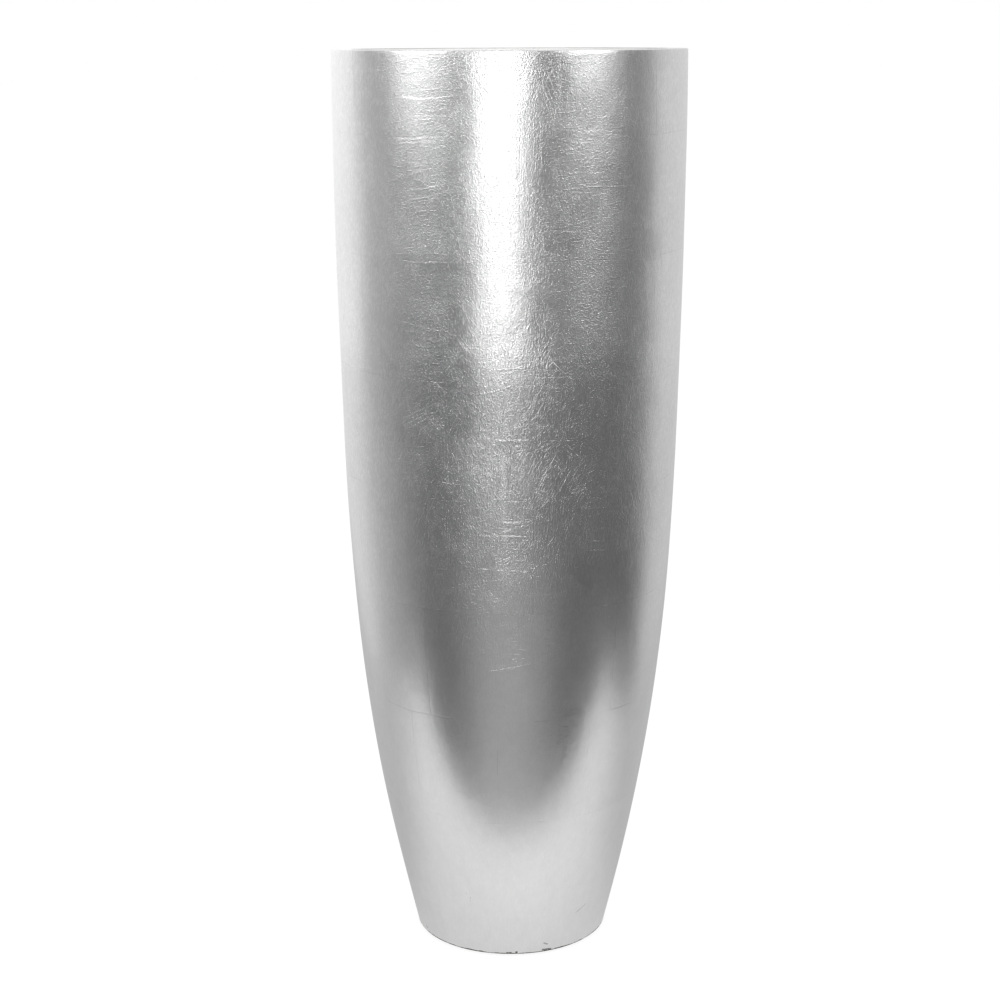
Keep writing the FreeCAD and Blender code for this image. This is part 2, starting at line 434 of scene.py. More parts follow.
rubbing = {
    "drift": (12.0, 1.0, 0.008),    # scale, detail and size of the marks' wandering
    "sheetShift": 0.03,             # patches change a little from sheet to sheet
    "strokeNoise": (0.50, 0.74),
    "strokes": (                    # with the share of each row at the end
        (2.0, (760.0, 130.0, 1.0), (1.0, 12.0, 0.25, 0.55), 1.0),
        (-14.0, (720.0, 150.0, 1.0), (2.0, 15.0, 0.30, 0.60), 1.0),
        (19.0, (720.0, 150.0, 1.0), (3.0, 13.0, 0.30, 0.60), 1.0),
        (-36.0, (760.0, 160.0, 1.0), (4.0, 16.0, 0.44, 0.64), 0.9),
        (42.0, (760.0, 160.0, 1.0), (4.6, 17.0, 0.46, 0.64), 0.9),
        (85.0, (800.0, 130.0, 1.0), (5.0, 14.0, 0.50, 0.66), 0.8),
    ),
    "scratchMark": 0.6,             # how much a scratch counts as a mark, beside a stroke
    "scratchWidth": 0.10,
    "scratchNoise": (0.47, 0.62),
    "scratches": (
        (5.0, (330.0, 20.0, 1.0), (11.0, 20.0, 0.36, 0.58)),
        (-16.0, (310.0, 22.0, 1.0), (12.0, 24.0, 0.38, 0.60)),
        (27.0, (330.0, 24.0, 1.0), (13.0, 22.0, 0.40, 0.62)),
        (-43.0, (290.0, 24.0, 1.0), (14.0, 26.0, 0.44, 0.64)),
        (64.0, (290.0, 24.0, 1.0), (15.0, 26.0, 0.46, 0.64)),
        (92.0, (290.0, 18.0, 1.0), (16.0, 24.0, 0.48, 0.66)),
    ),
    "grainScale": 720.0,
    "grainNoise": (0.46, 0.72),
    "grainPatch": (6.0, 13.0, 0.25, 0.5),
    "creaseWidth": 0.024,
    "creases": (
        (86.0, (42.0, 7.0, 1.0), (7.0, 24.0, 0.50, 0.60)),
        (-20.0, (36.0, 8.0, 1.0), (8.0, 20.0, 0.54, 0.62)),
        (38.0, (30.0, 9.0, 1.0), (9.0, 22.0, 0.55, 0.63)),
    ),
}


def strokeLayer(tree, flat, lean, scale):
    # Ridges of noise drawn out into strokes, with plain ground between them
    lines = noise(tree, stretched(tree, flat, scale, lean), 1.0, 1.0, 0.55)
    return ramp(tree, lines, *rubbing["strokeNoise"])


def scratchLayer(tree, flat, lean, scale):
    # Straight hairlines: the edges between long thin cells, with most of them left out
    across = stretched(tree, flat, scale, lean)
    cells = addNode(tree, "ShaderNodeTexVoronoi", {"feature": "DISTANCE_TO_EDGE", "voronoi_dimensions": "2D"},
                    Vector=across, Scale=1.0, Randomness=1.0)
    kept = ramp(tree, noise(tree, across, 0.55, 2.0, 0.7), *rubbing["scratchNoise"])
    return product(tree, ramp(tree, cells.outputs["Distance"], rubbing["scratchWidth"], 0.0), kept)


def creaseLayer(tree, flat, lean, scale, shift):
    # Long creases: the lines where a broad noise passes its middle value
    apart = vectorMaths(tree, "ADD", flat, (shift, shift, 0.0))
    field = noise(tree, stretched(tree, apart, scale, lean), 1.0, 2.0, 0.4)
    gap = maths(tree, "ABSOLUTE", maths(tree, "SUBTRACT", field, 0.5))
    return ramp(tree, gap, rubbing["creaseWidth"], 0.0)


def makeHairlines():
    # Layers of strokes, scratches and creases that lean differently, each kept in patches of its own, and
    # speckle. Gives their height, how marked a place is, and how many layers of strokes cover it.
    tree, entry, result = newGroup(
        "hairlines",
        [("Flat", "Vector", None), ("Sheet", "Vector", None), ("Stroke Depth", "Float", 0.0001),
         ("Scratch Depth", "Float", 0.0001), ("Speckle Depth", "Float", 0.0001),
         ("Crease Depth", "Float", 0.0001)],
        [("Height", "Float", None), ("Marked", "Float", None), ("Cover", "Float", None)],
    )
    drift = noiseShift(tree, entry["Flat"], *rubbing["drift"])
    drift = vectorMaths(tree, "MULTIPLY", drift, (1.0, 1.0, 0.0))
    flat = vectorMaths(tree, "ADD", entry["Flat"], drift)
    patched = vectorMaths(tree, "ADD", flat, scaled(tree, entry["Sheet"], rubbing["sheetShift"]))
    strokes, covers, scratches, creases = [], [], [], []
    for lean, scale, patch, share in rubbing["strokes"]:
        covers.append(product(tree, patchMask(tree, patched, *patch), share))
        strokes.append(product(tree, strokeLayer(tree, flat, lean, scale), covers[-1]))
    for lean, scale, patch in rubbing["scratches"]:
        lines = scratchLayer(tree, flat, lean, scale)
        scratches.append(product(tree, lines, patchMask(tree, patched, *patch)))
    for lean, scale, patch in rubbing["creases"]:
        lines = creaseLayer(tree, flat, lean, scale, patch[0])
        creases.append(product(tree, lines, patchMask(tree, flat, *patch)))
    stroked, scratched = total(tree, *strokes), total(tree, *scratches)
    grains = ramp(tree, noise(tree, flat, rubbing["grainScale"], 1.0, 0.6), *rubbing["grainNoise"])
    grains = product(tree, grains, patchMask(tree, patched, *rubbing["grainPatch"]))
    height = total(
        tree,
        product(tree, stroked, entry["Stroke Depth"]),
        product(tree, scratched, entry["Scratch Depth"]),
        product(tree, grains, entry["Speckle Depth"]),
        product(tree, total(tree, *creases), entry["Crease Depth"]),
    )
    feed(tree, result["Height"], height)
    feed(tree, result["Marked"], total(tree, stroked, product(tree, scratched, rubbing["scratchMark"])))
    feed(tree, result["Cover"], total(tree, *covers))
    return tree


# Scraps, worn places and nicks

wear = {
    "raggedScale": 90.0,
    "raggedHeight": 2.6,        # in widths of the worn strip, as the chips are
    "raggedStart": 0.45,
    "chipScale": 38.0,
    "chipNoise": (0.66, 0.74),
    "chipHeight": 2.2,
    "softness": 0.12,
    "nickScale": 700.0,
    "nickWidths": (0.6, 1.3),   # a nick's width wanders between these shares of it
    "nickEdge": (1.2, 0.7),     # in widths, where a nick ends and where it is full
}


def makeFragments():
    # Square-cut scraps of leaf over thin places: here and there a straight-edged cell, with a random colour
    tree, entry, result = newGroup(
        "leafFragments", [("Flat", "Vector", None), ("Scale", "Float", 30.0), ("Share", "Float", 0.3)],
        [("Scrap", "Color", None), ("Present", "Float", None)],
    )
    cells = addNode(tree, "ShaderNodeTexVoronoi", {"distance": "CHEBYCHEV", "voronoi_dimensions": "2D"},
                    Vector=entry["Flat"], Scale=entry["Scale"], Randomness=0.85)
    chance = addNode(tree, "ShaderNodeSeparateColor", Color=cells.outputs["Color"]).outputs[2]
    feed(tree, result["Scrap"], cells.outputs["Color"])
    feed(tree, result["Present"], maths(tree, "LESS_THAN", chance, entry["Share"]))
    return tree


def makeWornEdge():
    # A strip from a given height up, with a ragged edge and chips that reach further in
    tree, entry, result = newGroup(
        "wornEdge",
        [("Place", "Vector", None), ("Edge Height", "Float", 0.0), ("Width", "Float", 0.002)],
        [("Worn", "Float", None)],
    )
    above = maths(tree, "SUBTRACT", parts(tree, entry["Place"])[2], entry["Edge Height"])
    above = maths(tree, "DIVIDE", above, entry["Width"])
    ragged = noise(tree, entry["Place"], wear["raggedScale"], 4.0, 0.65)
    ragged = maths(tree, "SUBTRACT", product(tree, ragged, wear["raggedHeight"]), wear["raggedStart"])
    chip = noise(tree, entry["Place"], wear["chipScale"], 2.0)
    chip = ramp(tree, chip, *wear["chipNoise"], 0.0, wear["chipHeight"])
    left = maths(tree, "SUBTRACT", total(tree, ragged, chip), above)
    feed(tree, result["Worn"], ramp(tree, left, -wear["softness"], wear["softness"]))
    return tree


def makeNick():
    # A mark along the line between two places: the distance to the line's nearest point, over a ragged width
    tree, entry, result = newGroup(
        "nick",
        [("Place", "Vector", None), ("From", "Vector", None), ("To", "Vector", None),
         ("Width", "Float", 0.001)],
        [("Mask", "Float", None)],
    )
    along = vectorMaths(tree, "SUBTRACT", entry["To"], entry["From"])
    away = vectorMaths(tree, "SUBTRACT", entry["Place"], entry["From"])
    reach, whole = (vectorMaths(tree, "DOT_PRODUCT", line, along) for line in (away, along))
    share = maths(tree, "DIVIDE", reach, whole, clamp=True)
    gap = vectorMaths(tree, "DISTANCE", away, scaled(tree, along, share))
    ragged = ramp(tree, noise(tree, entry["Place"], wear["nickScale"], 2.0), 0.3, 0.7, *wear["nickWidths"])
    width = product(tree, entry["Width"], ragged)
    feed(tree, result["Mask"], ramp(tree, maths(tree, "DIVIDE", gap, width), *wear["nickEdge"]))
    return tree


leafSheets, hairlines, wornEdge = makeLeafSheets(), makeHairlines(), makeWornEdge()
unrolled, leafFragments, nickMark = makeUnrolled(), makeFragments(), makeNick()


# Leaf. A nick or wrinkle is its turn and height at both ends, its half width, and how dark it is or how far
# the leaf leans back in it.

leaf = {
    "sheetsRound": 10.0,
    "sheetWidth": 0.115,
    "rowHeight": 0.1195,
    "firstRow": 0.0510,
    "jointWidth": 0.0009,
    "jointDepth": 0.00005,
    "jointTone": (0.5, 0.5, 0.5),
    "jointShare": 0.32,
    "jointStart": (0.10, 0.25),     # heights between which the joints appear
    "scrapScale": 34.0,
    "scrapShare": 0.22,
    "scrapShift": 2.0,              # how far the rubbing marks' patches change on a scrap
    "rollRadius": 0.17,             # the surface is unrolled at this radius
    "colour": (0.85, 0.85, 0.85),
    "resin": (0.045, 0.040, 0.036),
    "sheetTones": (0.975, 1.0),
    "cloudScale": 9.0,
    "cloudTones": (0.97, 1.0),
    "mottleScale": 75.0,
    "mottleTones": (0.95, 1.0),
    "streakSpread": (230.0, 26.0, 1.0),     # how many to a metre across and up
    "streakTones": (0.96, 1.0),
    "rubbedTones": (0.88, 1.0),
    "roughness": 0.283,
    "sheetRoughness": 0.004,
    "patchScale": 30.0,
    "patchRoughness": (-0.004, 0.006),
    "rubbedLayers": (0.8, 3.6),     # layers of strokes between which rubbing roughens the leaf
    "rubbedRoughness": 0.03,
    "wornWidth": 0.0018,
    "wornRoughness": 0.6,
    "wornDepth": 0.0002,
    "strokeDepth": 0.000030,
    "scratchDepth": 0.000030,
    "speckleDepth": 0.000065,
    "creaseDepth": 0.00004,
    "workedLow": (0.36, 0.50),      # heights between which the leaf was burnished hardest
    "workedHigh": (0.74, 0.64),
    "strokeGain": 0.8,              # how much deeper the marks are there
    "scratchGain": 1.2,
    "handledHeights": (0.22, 0.60),     # rubbing marks are fainter low down
    "handledShares": (0.3, 1.0),
    "frontReach": (0.15, 0.06),     # and a little stronger at the front, in metres round the body
    "frontShares": (0.75, 1.30),
    "swellSpread": (28.0, 15.0, 1.0),
    "swellDepth": 0.00050,
    "sheetTilt": 0.010,
    "scrapTilt": 0.03,
    "bellyTilt": 0.035,             # one row of sheets leans back a little above its lower seam
    "bellyLow": (0.655, 0.68),
    "bellyHigh": (0.82, 0.70),
    "lapTilt": -0.025,              # and the row below leans in under it
    "lapLow": (0.560, 0.590),
    "lapHigh": (0.652, 0.640),
    "speckScale": 250.0,            # burnished specks that face up a little
    "speckEdge": (0.22, 0.10),
    "speckShare": 0.06,
    "speckPatch": (21.0, 22.0, 0.45, 0.62),
    "speckTilt": 0.11,
    "dashSpread": (120.0, 620.0, 1.0),      # short level creases low at the front
    "dashNoise": (0.50, 0.68),
    "dashPatch": (33.0, 18.0, 0.38, 0.56),
    "dashReach": (0.085, 0.045),
    "dashLow": (0.23, 0.27),
    "dashHigh": (0.52, 0.44),
    "dashTilt": 0.12,
    "nicks": (
        (2.5, 0.0046, 2.9, 0.0046, 0.0010, 1.0),
        (18.8, 0.0138, 21.0, 0.0118, 0.0009, 0.55),
        (18.6, 0.0050, 23.4, 0.0044, 0.0011, 0.9),
        (-2.8, 0.0040, -0.6, 0.0040, 0.0008, 0.9),
        (-62.0, 0.0100, -61.0, 0.0084, 0.0008, 0.6),
        (43.9, 0.0516, 37.3, 0.0444, 0.0004, 0.40),
        (-21.4, 0.0737, -21.7, 0.0671, 0.0004, 0.30),
        (-23.3, 0.0785, -23.4, 0.0775, 0.0005, 0.30),
    ),
    "wrinkles": (
        (-33.7, 0.9256, -27.6, 0.9236, 0.0012, 0.05),
        (-27.6, 0.9236, -22.6, 0.9250, 0.0010, 0.05),
        (-22.6, 0.9250, -16.6, 0.9276, 0.0005, 0.06),
        (-16.6, 0.9276, -11.7, 0.9318, 0.0005, 0.06),
        (-29.8, 0.9078, -19.5, 0.9082, 0.0005, 0.05),
        (-29.8, 0.9040, -21.4, 0.9053, 0.0005, 0.04),
        (-36.2, 0.8854, -27.6, 0.8862, 0.0008, 0.04),
        (-29.6, 0.8872, -19.6, 0.8884, 0.0006, 0.04),
        (-35.5, 0.8816, -20.5, 0.8846, 0.0006, 0.04),
        (-34.7, 0.8354, -26.0, 0.8392, 0.0004, 0.05),
        (-26.0, 0.8392, -16.6, 0.8458, 0.0004, 0.05),
        (-33.4, 0.7662, -11.9, 0.7689, 0.0004, 0.06),
        (-38.0, 0.7074, -22.5, 0.6998, 0.0004, 0.07),
        (18.7, 0.8548, 29.4, 0.8537, 0.0004, 0.05),
        (15.5, 0.8854, 23.8, 0.8820, 0.0004, 0.05),
        (34.3, 0.7346, 42.5, 0.7505, 0.0004, 0.06),
        (-10.6, 0.5948, -3.5, 0.5922, 0.0005, 0.06),
        (-3.5, 0.5922, 5.0, 0.5920, 0.0008, 0.07),
        (5.0, 0.5920, 10.8, 0.5996, 0.0005, 0.07),
        (10.8, 0.5996, 16.3, 0.6130, 0.0004, 0.07),
        (-13.6, 0.5024, -4.4, 0.4940, 0.0005, 0.08),
        (-2.2, 0.4985, 5.4, 0.5054, 0.0004, 0.07),
        (-8.0, 0.4925, 3.0, 0.4935, 0.0004, 0.06),
        (-12.0, 0.4580, 4.0, 0.4560, 0.0010, 0.05),
        (-7.7, 0.3471, 6.5, 0.3548, 0.0005, 0.16),
        (-2.6, 0.5769, -2.1, 0.4836, 0.0022, 0.022),
    ),
}


def wallPlace(turn, height):
    # Place on the body's wall
    radius, angle = float(outlineRadius(height)), math.radians(turn)
    return radius * math.sin(angle), -radius * math.cos(angle), height


def flatPlace(turn, height):
    # The same place on the unrolled surface
    return math.radians(turn) * leaf["rollRadius"], height - float(outlineRadius(height)), 0.0


def between(tree, value, rise, fall):
    # 1 between two soft limits, and 0 outside them
    return product(tree, ramp(tree, value, *rise), ramp(tree, value, *fall))


def leafTone(tree, place, flat, chance, marked, handled):
    # How light the leaf is: sheets, faint clouds and mottle, then streaks and rubbing marks, all multiplied
    sheet = ramp(tree, chance, 0.0, 1.0, *leaf["sheetTones"], smooth=False)
    cloud = ramp(tree, noise(tree, place, leaf["cloudScale"], 4.0), 0.3, 0.7, *leaf["cloudTones"])
    mottle = noise(tree, flat, leaf["mottleScale"], 3.0, 0.6)
    mottle = ramp(tree, mottle, 0.25, 0.75, *leaf["mottleTones"], smooth=False)
    streak = noise(tree, vectorMaths(tree, "MULTIPLY", flat, leaf["streakSpread"]), 1.0, 3.0, 0.6)
    streak = ramp(tree, streak, 0.25, 0.75, *leaf["streakTones"], smooth=False)
    rubbed = ramp(tree, marked, 0.0, 1.0, *leaf["rubbedTones"], smooth=False)
    rubbed = mixValue(tree, handled, 1.0, product(tree, streak, rubbed))
    tone = product(tree, sheet, cloud, mottle, rubbed)
    return addNode(tree, "ShaderNodeCombineColor", i0=tone, i1=tone, i2=tone).outputs[0]


def leafLean(tree, flat, up, aside, handled):
    # How far the leaf leans back: belly and lap of the rows, specks, dashes and the main creases, added up
    belly = between(tree, up, leaf["bellyLow"], leaf["bellyHigh"])
    lap = between(tree, up, leaf["lapLow"], leaf["lapHigh"])
    dots = addNode(tree, "ShaderNodeTexVoronoi", {"voronoi_dimensions": "2D"}, Vector=flat,
                   Scale=leaf["speckScale"])
    chance = addNode(tree, "ShaderNodeSeparateColor", Color=dots.outputs["Color"]).outputs[0]
    speck = product(
        tree, ramp(tree, dots.outputs["Distance"], *leaf["speckEdge"]),
        maths(tree, "LESS_THAN", chance, leaf["speckShare"]), handled,
        patchMask(tree, flat, *leaf["speckPatch"]),
    )
    dash = noise(tree, vectorMaths(tree, "MULTIPLY", flat, leaf["dashSpread"]), 1.0, 1.0, 0.55)
    dash = product(
        tree, ramp(tree, dash, *leaf["dashNoise"]), patchMask(tree, flat, *leaf["dashPatch"]),
        ramp(tree, aside, *leaf["dashReach"]), between(tree, up, leaf["dashLow"], leaf["dashHigh"]),
    )
    leans = [
        product(tree, belly, leaf["bellyTilt"]),
        product(tree, lap, leaf["lapTilt"]),
        product(tree, speck, leaf["speckTilt"]),
        product(tree, dash, leaf["dashTilt"]),
    ]
    for fromTurn, fromHeight, toTurn, toHeight, width, back in leaf["wrinkles"]:
        ends = {"From": flatPlace(fromTurn, fromHeight), "To": flatPlace(toTurn, toHeight)}
        crease = placeGroup(tree, nickMark, Place=flat, Width=width, **ends)["Mask"]
        leans.append(product(tree, crease, back))
    return total(tree, *leans)


def makeLeafMaterial(name):
    material, tree, shader, place = newMaterial(name)
    sheets = placeGroup(tree, leafSheets, Place=place, Sheets_Round=leaf["sheetsRound"],
                        Sheet_Width=leaf["sheetWidth"], Row_Height=leaf["rowHeight"],
                        First_Row=leaf["firstRow"], Joint_Width=leaf["jointWidth"])
    chance = addNode(tree, "ShaderNodeSeparateColor", Color=sheets["Sheet"]).outputs
    flat = placeGroup(tree, unrolled, Place=place, Roll_Radius=leaf["rollRadius"])["Flat"]
    scraps = placeGroup(tree, leafFragments, Flat=flat, Scale=leaf["scrapScale"], Share=leaf["scrapShare"])
    up = parts(tree, place)[2]
    aside = maths(tree, "ABSOLUTE", parts(tree, flat)[0])
    straight = tree.nodes.new("ShaderNodeNewGeometry").outputs["Normal"]
    wall = ramp(tree, parts(tree, straight)[2], 0.9, 0.5)       # 0 on the lip, whose level top is smooth

    # Rubbing marks, and how far each place was handled
    worked = between(tree, up, leaf["workedLow"], leaf["workedHigh"])
    depths = {}
    for label, depth, gain in (("Stroke_Depth", leaf["strokeDepth"], leaf["strokeGain"]),
                               ("Scratch_Depth", leaf["scratchDepth"], leaf["scratchGain"])):
        depths[label] = ramp(tree, worked, 0.0, 1.0, depth, depth * (1 + gain), smooth=False)
    scrapShift = scaled(tree, scraps["Scrap"], product(tree, scraps["Present"], leaf["scrapShift"]))
    patches = vectorMaths(tree, "ADD", sheets["Sheet"], scrapShift)
    marks = placeGroup(tree, hairlines, Flat=flat, Sheet=patches, Speckle_Depth=leaf["speckleDepth"],
                       Crease_Depth=leaf["creaseDepth"], **depths)
    handled = ramp(tree, up, *leaf["handledHeights"], *leaf["handledShares"])
    front = ramp(tree, aside, *leaf["frontReach"], *leaf["frontShares"])

    # Where the leaf has gone
    worn = placeGroup(tree, wornEdge, Place=place, Edge_Height=body["bottom"], Width=leaf["wornWidth"])
    worn = worn["Worn"]
    for fromTurn, fromHeight, toTurn, toHeight, width, dark in leaf["nicks"]:
        ends = {"From": wallPlace(fromTurn, fromHeight), "To": wallPlace(toTurn, toHeight)}
        mark = placeGroup(tree, nickMark, Place=place, Width=width, **ends)["Mask"]
        worn = maths(tree, "MAXIMUM", worn, product(tree, mark, dark))

    # Silver leaf with its joints, and dark resin without sheen where it is worn
    tone = leafTone(tree, place, flat, chance[2], marks["Marked"], handled)
    silver = mixColour(tree, 1.0, leaf["colour"], tone, "MULTIPLY")
    joint = product(tree, sheets["Joint"], ramp(tree, up, *leaf["jointStart"]))
    silver = mixColour(tree, product(tree, joint, leaf["jointShare"]), silver, leaf["jointTone"])
    feed(tree, shader["Base Color"], mixColour(tree, worn, silver, leaf["resin"]))
    feed(tree, shader["Metallic"], ramp(tree, worn, 0.0, 1.0, 1.0, 0.0))

    # Roughness: by sheet, by patch, and more where it was rubbed
    smoothest = leaf["roughness"] - leaf["sheetRoughness"]
    roughest = leaf["roughness"] + leaf["sheetRoughness"]
    rough = ramp(tree, chance[0], 0.0, 1.0, smoothest, roughest, smooth=False)
    patchy = ramp(tree, noise(tree, place, leaf["patchScale"], 3.0), 0.3, 0.7, *leaf["patchRoughness"])
    rubbed = ramp(tree, marks["Cover"], *leaf["rubbedLayers"], 0.0, leaf["rubbedRoughness"], smooth=False)
    rough = total(tree, rough, patchy, product(tree, rubbed, handled))
    feed(tree, shader["Roughness"], mixValue(tree, worn, rough, leaf["wornRoughness"]))

    # Relief: each sheet and scrap has a slight tilt, then come swells, rubbing marks, joints and worn places
    lean = leafLean(tree, flat, up, aside, handled)
    scrapTilt = product(tree, scraps["Present"], leaf["scrapTilt"])
    tilt = vectorMaths(tree, "ADD", centred(tree, sheets["Sheet"], leaf["sheetTilt"]),
                       centred(tree, scraps["Scrap"], scrapTilt))
    tilt = vectorMaths(tree, "ADD", tilt, addNode(tree, "ShaderNodeCombineXYZ", Z=lean).outputs[0])
    tilted = vectorMaths(tree, "NORMALIZE", vectorMaths(tree, "ADD", straight, scaled(tree, tilt, wall)))
    swell = noise(tree, vectorMaths(tree, "MULTIPLY", flat, leaf["swellSpread"]), 1.0, 4.0, 0.5)
    swell = product(tree, swell, leaf["swellDepth"])
    height = total(tree, swell, product(tree, marks["Height"], handled, front))
    height = maths(tree, "SUBTRACT", product(tree, height, wall),
                   product(tree, joint, leaf["jointDepth"]),
                   product(tree, worn, leaf["wornDepth"]))
    relief = addNode(tree, "ShaderNodeBump", Strength=1.0, Distance=1.0, Height=height, Normal=tilted)
    feed(tree, shader["Normal"], relief.outputs[0])
    return material


# Plain finishes: colour and how far it wanders, roughness, and scale and depth of the grain

plain = {
    # A grey strip on the mouth's rounded edge: a painted shade line where the leaf turns in
    "paintedMouthShade": {
        "colour": (0.50, 0.50, 0.49), "spread": 0.45, "roughness": 0.45,
        "grainScale": 40.0, "grainDepth": 0.00003,
    },
    # Near white on the skirt inside the mouth: a painted reflection, as bright as the leaf reflecting the key
    # softbox
    "paintedSkirtSheen": {
        "colour": (0.97, 0.97, 0.965), "spread": 0.03, "roughness": 0.40,
        "grainScale": 300.0, "grainDepth": 0.00004,
    },
    "rawLaminate": {
        "colour": (0.16, 0.15, 0.13), "spread": 0.25, "roughness": 0.55,
        "grainScale": 240.0, "grainDepth": 0.00025,
    },
    "plywood": {
        "colour": (0.50, 0.34, 0.19), "spread": 0.18, "roughness": 0.65,
        "grainScale": 60.0, "grainDepth": 0.0001, "stretch": (1.0, 1.0, 9.0),
    },
    "castBallast": {
        "colour": (0.42, 0.41, 0.39), "spread": 0.16, "roughness": 0.85,
        "grainScale": 190.0, "grainDepth": 0.0005,
    },
    "felt": {
        "colour": (0.05, 0.05, 0.052), "spread": 0.3, "roughness": 0.95,
        "grainScale": 900.0, "grainDepth": 0.0006,
    },
    "linerPlastic": {
        "colour": (0.028, 0.028, 0.030), "spread": 0.15, "roughness": 0.42,
        "grainScale": 700.0, "grainDepth": 0.00004,
    },
    "wireSteel": {
        "colour": (0.62, 0.62, 0.63), "spread": 0.05, "roughness": 0.30,
        "grainScale": 500.0, "grainDepth": 0.00002, "metallic": 1.0,
    },
}
grain = {
    "broadRatio": 12.0,         # how much larger the broad noise is than the grain
    "broadNoise": (0.35, 0.65),
    "fineNoise": (0.45, 0.70),
    "fineShare": 0.5,
    "roughNoise": (0.3, 0.7),
    "roughSpread": 0.1,
}


def makePlainMaterial(name, colour, spread, roughness, grainScale, grainDepth, metallic=0.0, stretch=None):
    # A matt or satin finish with fine grain: colour and roughness wander a little, and the grain is raised
    material, tree, shader, place = newMaterial(name)
    if stretch is not None:
        place = stretched(tree, place, stretch)
    fine = noise(tree, place, grainScale, 4.0, 0.6)
    broad = noise(tree, place, grainScale / grain["broadRatio"], 3.0)
    dark = tuple(part * (1 - spread) for part in colour)
    light = tuple(min(1.0, part * (1 + spread)) for part in colour)
    shade = mixColour(tree, ramp(tree, broad, *grain["broadNoise"]), dark, light)
    shade = mixColour(tree, ramp(tree, fine, *grain["fineNoise"], 0.0, grain["fineShare"]), shade, dark)
    feed(tree, shader["Base Color"], shade)
    smoothest = roughness * (1 - grain["roughSpread"])
    roughest = min(1.0, roughness * (1 + grain["roughSpread"]))
    feed(tree, shader["Roughness"], ramp(tree, fine, *grain["roughNoise"], smoothest, roughest))
    shader["Metallic"].default_value = metallic
    raised = product(tree, fine, grainDepth)
    relief = addNode(tree, "ShaderNodeBump", Strength=1.0, Distance=1.0, Height=raised)
    feed(tree, shader["Normal"], relief.outputs[0])
    return material


finish = {name: makePlainMaterial(name, **values) for name, values in plain.items()}
finish["silverLeaf"] = makeLeafMaterial("silverLeaf")
print("materials made")


# Pieces. The liner, its handles and the parts inside keep their meshes and take a finish.

nodeFinishes = {
    "liner_ledge": "plywood",
    "base_disc": "rawLaminate",
    "ballast_slab": "castBallast",
    "floor_pads": "felt",
    "liner_pot": "linerPlastic",
    "handle_left": "wireSteel",
    "handle_right": "wireSteel",
}

makeLeafedShell(finish["silverLeaf"], finish["rawLaminate"])
makeLeafedRim(finish["silverLeaf"], finish["paintedSkirtSheen"], finish["rawLaminate"], finish["paintedMouthShade"])
for nodeName, finishName in nodeFinishes.items():
    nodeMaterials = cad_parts[nodeName].data.materials
    nodeMaterials.clear()
    nodeMaterials.append(finish[finishName])
print("pieces made")


# Studio: dim in front, lit paper behind and at both sides, and a sheet of paper under the planter. The tones
# are what bare metal mirrors.

studio = {
    "frontTone": 0.11,
    # What the dim walls, the lit paper beside them and the backdrop add: side, turn from and to, tone, and
    # the distance at which what they add to the floor has halved
    "walls": (
        (-1.0, 50.0, 112.0, 0.45, 0.0),
        (-1.0, 107.0, 120.0, 0.70, 2.5),
        (1.0, 50.0, 95.0, 0.13, 8.0),
        (1.0, 94.0, 112.0, 0.60, 0.15),
        (1.0, 130.0, 175.0, 0.04, 0.0),
    ),
    "ceilingTone": 1.02,
    "ceilingRise": (0.34, 0.62),    # sines of the elevations between which the ceiling starts
    "fill": 0.72,                   # what matt surfaces receive from all round
    "floorSize": 40.0,
    "floorColour": (0.7, 0.7, 0.7, 1.0),
    "shadowColour": (0.2, 0.2, 0.2, 1.0),       # what the camera sees: this colour, and light of its own
    "shadowLight": 0.86,            # which keeps the planter's shadow pale
    # The glow is a painted pool of the key softbox's light on the floor, seen only by metal
    "glowTone": 0.28,               # the floor that the key softbox lights, between planter and camera
    "glowAside": -3.0,              # turn of its middle
    "glowTurn": (4.0, 50.0),
    "glowReach": (2.1, 1.0),
    "paperWidth": (0.82, 0.66),     # half widths and front edge between which the paper starts
    "paperFront": (-0.336, -0.296),
    "paperDepth": (0.12, -0.28),
    # Painted light and shade on the paper, seen only by metal: darker at the back in the planter's shade,
    # lighter near the foot
    "paperTones": (0.56, 0.93),     # at the back, and lit from the front near the foot
}


def makeStudioTone():
    # What bare metal mirrors in a direction: the front's tone, what each wall adds past its turn, and the
    # ceiling. On the floor, Reach is the distance from the planter, and a wall's light fades near it.
    tree, entry, result = newGroup(
        "studioTone", [("Direction", "Vector", None), ("Reach", "Float", 1000.0)], [("Tone", "Float", None)]
    )
    x, y, z = parts(tree, entry["Direction"])
    aside = maths(tree, "DEGREES", turnRound(tree, x, y))
    tone = studio["frontTone"]
    for side, fromTurn, toTurn, added, fade in studio["walls"]:
        wall = ramp(tree, product(tree, aside, side), fromTurn, toTurn, 0.0, added)
        if fade:
            far = maths(tree, "DIVIDE", entry["Reach"], total(tree, entry["Reach"], fade))
            wall = product(tree, wall, far)
        tone = total(tree, wall, tone)
    tone = mixValue(tree, ramp(tree, z, *studio["ceilingRise"]), tone, studio["ceilingTone"])
    feed(tree, result["Tone"], tone)
    return tree


